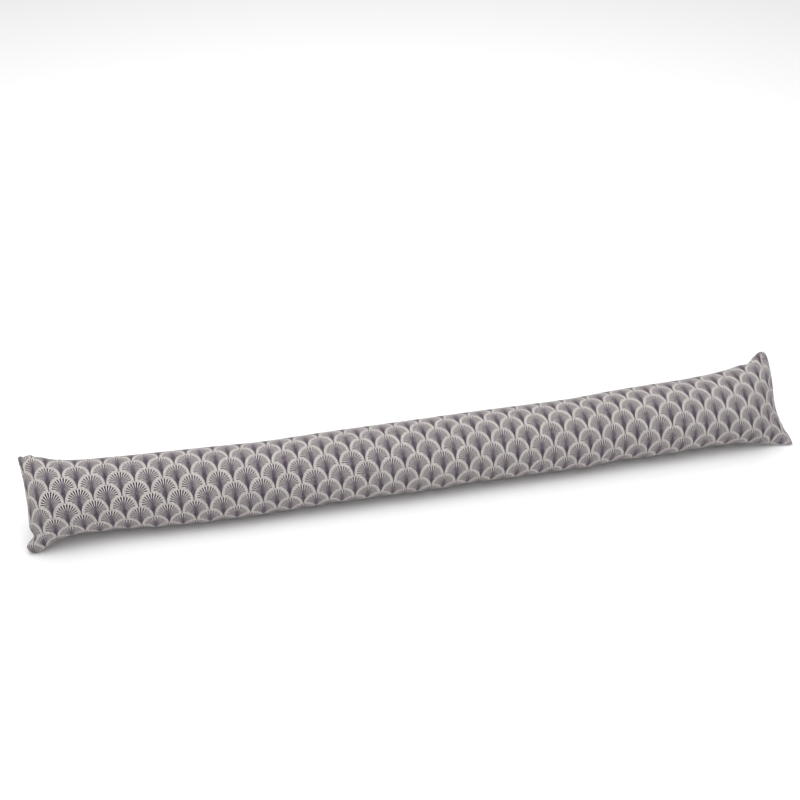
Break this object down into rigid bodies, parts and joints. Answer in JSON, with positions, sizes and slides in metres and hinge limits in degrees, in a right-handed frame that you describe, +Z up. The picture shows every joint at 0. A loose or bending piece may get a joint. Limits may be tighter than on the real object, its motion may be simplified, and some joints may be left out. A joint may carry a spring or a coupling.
{
  "type": "draught excluder",
  "caption": "Long filled cloth tube with flat-sewn ends, laid along the foot of a door to keep out draughts.",
  "frame": {"origin": "middle of the underside of the bounding box, on the floor under the tube", "axes": "+X along the tube towards its right-hand end, +Y from the front of the tube to its back, +Z up"},
  "size_m": [0.9208, 0.095, 0.1017],
  "materials": {
    "patterned_cloth": "matt woven jacquard with a fan repeat in warm grey on dark purple-grey"
  },
  "bodies": {
    "root": {"cover": "patterned_cloth"}
  },
  "joints": []
}
